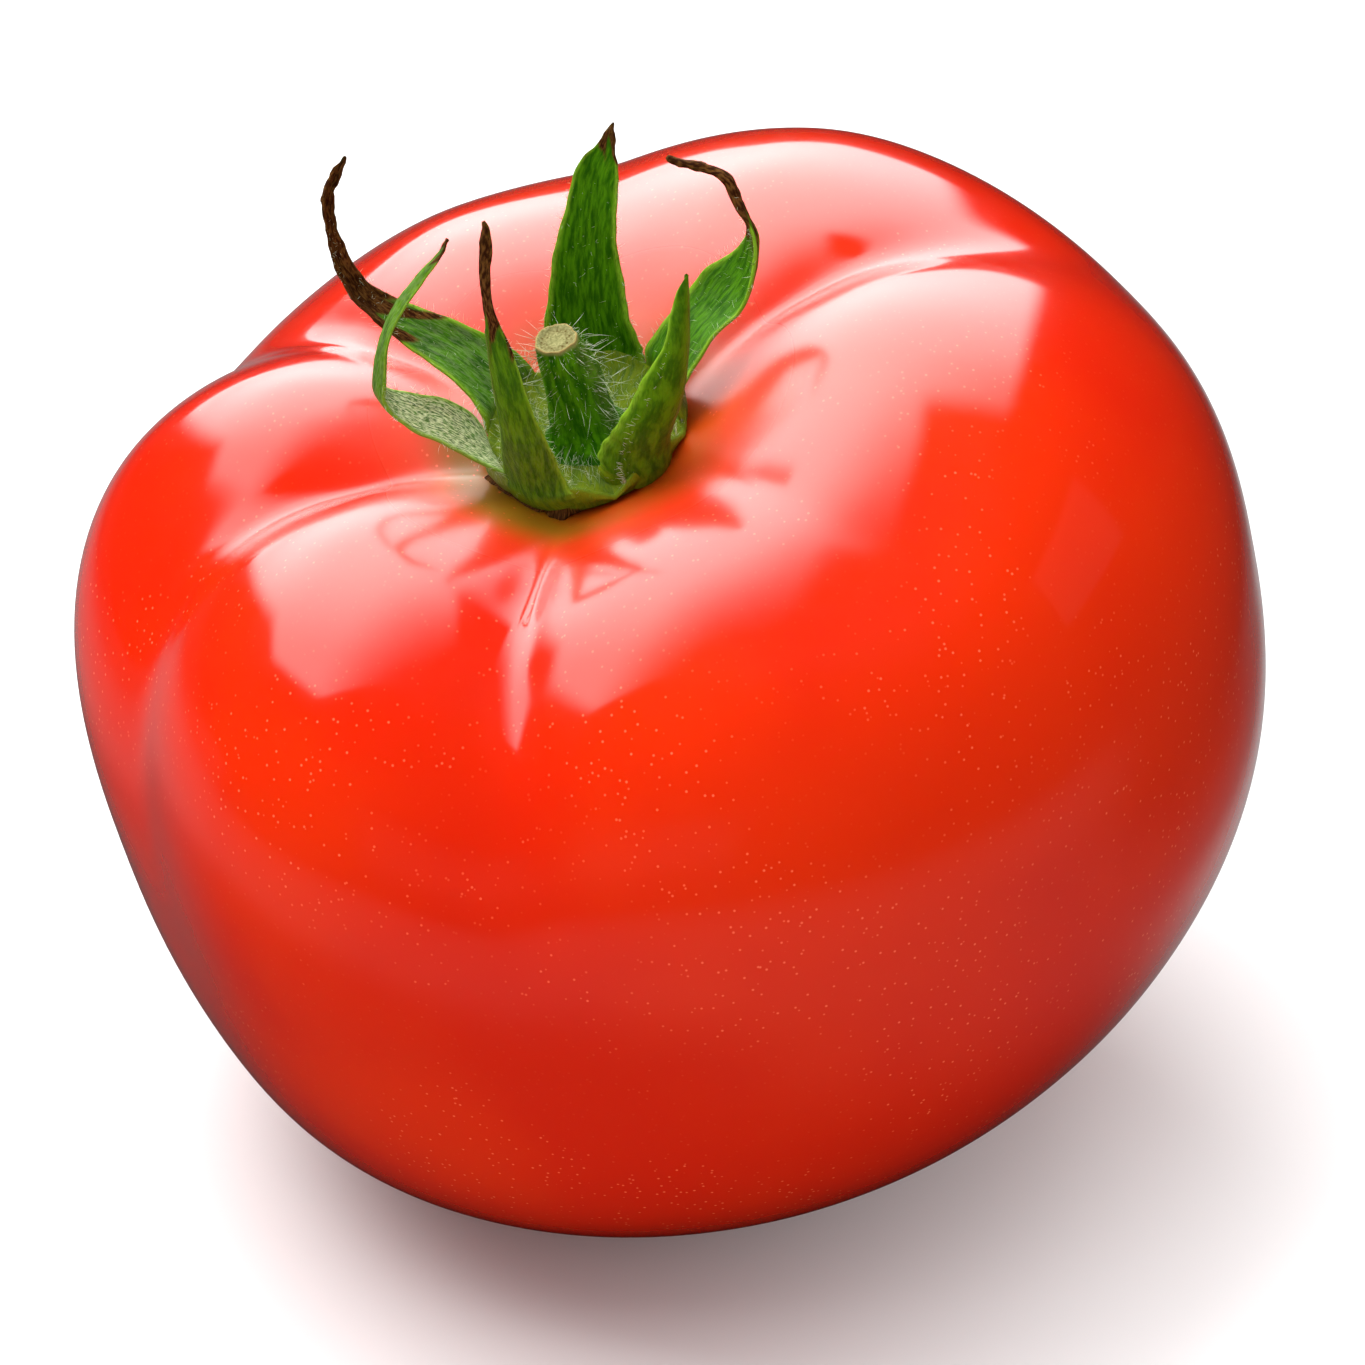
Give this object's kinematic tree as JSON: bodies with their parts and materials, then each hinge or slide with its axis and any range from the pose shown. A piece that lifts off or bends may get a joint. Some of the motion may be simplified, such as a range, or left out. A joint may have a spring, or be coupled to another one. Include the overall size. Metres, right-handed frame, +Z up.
{
  "type": "tomato",
  "caption": "Ripe red ribbed tomato lying on a small flat spot, with a green calyx of curling sepals round a short cut stem in a shallow dimple.",
  "frame": {"origin": "middle of the small flat spot that the fruit rests on", "axes": "+Z up from the surface it rests on, -Y towards the front of the fruit, +X to its right; the stem axis leans towards the front left"},
  "size_m": [0.0875, 0.082, 0.0845],
  "materials": {
    "tomato_skin": "glossy waxy fruit skin",
    "calyx_green": "satin leaf with fine hairs",
    "stem_green": "satin stem with fine hairs and a dry cut end"
  },
  "bodies": {
    "root": {"fruit": "tomato_skin", "calyx_cup": "calyx_green", "stem_stub": "stem_green", "sepal_back": "calyx_green", "sepal_back_right": "calyx_green", "sepal_front_right": "calyx_green", "sepal_front_left": "calyx_green", "sepal_left": "calyx_green", "sepal_back_left": "calyx_green"}
  },
  "joints": []
}
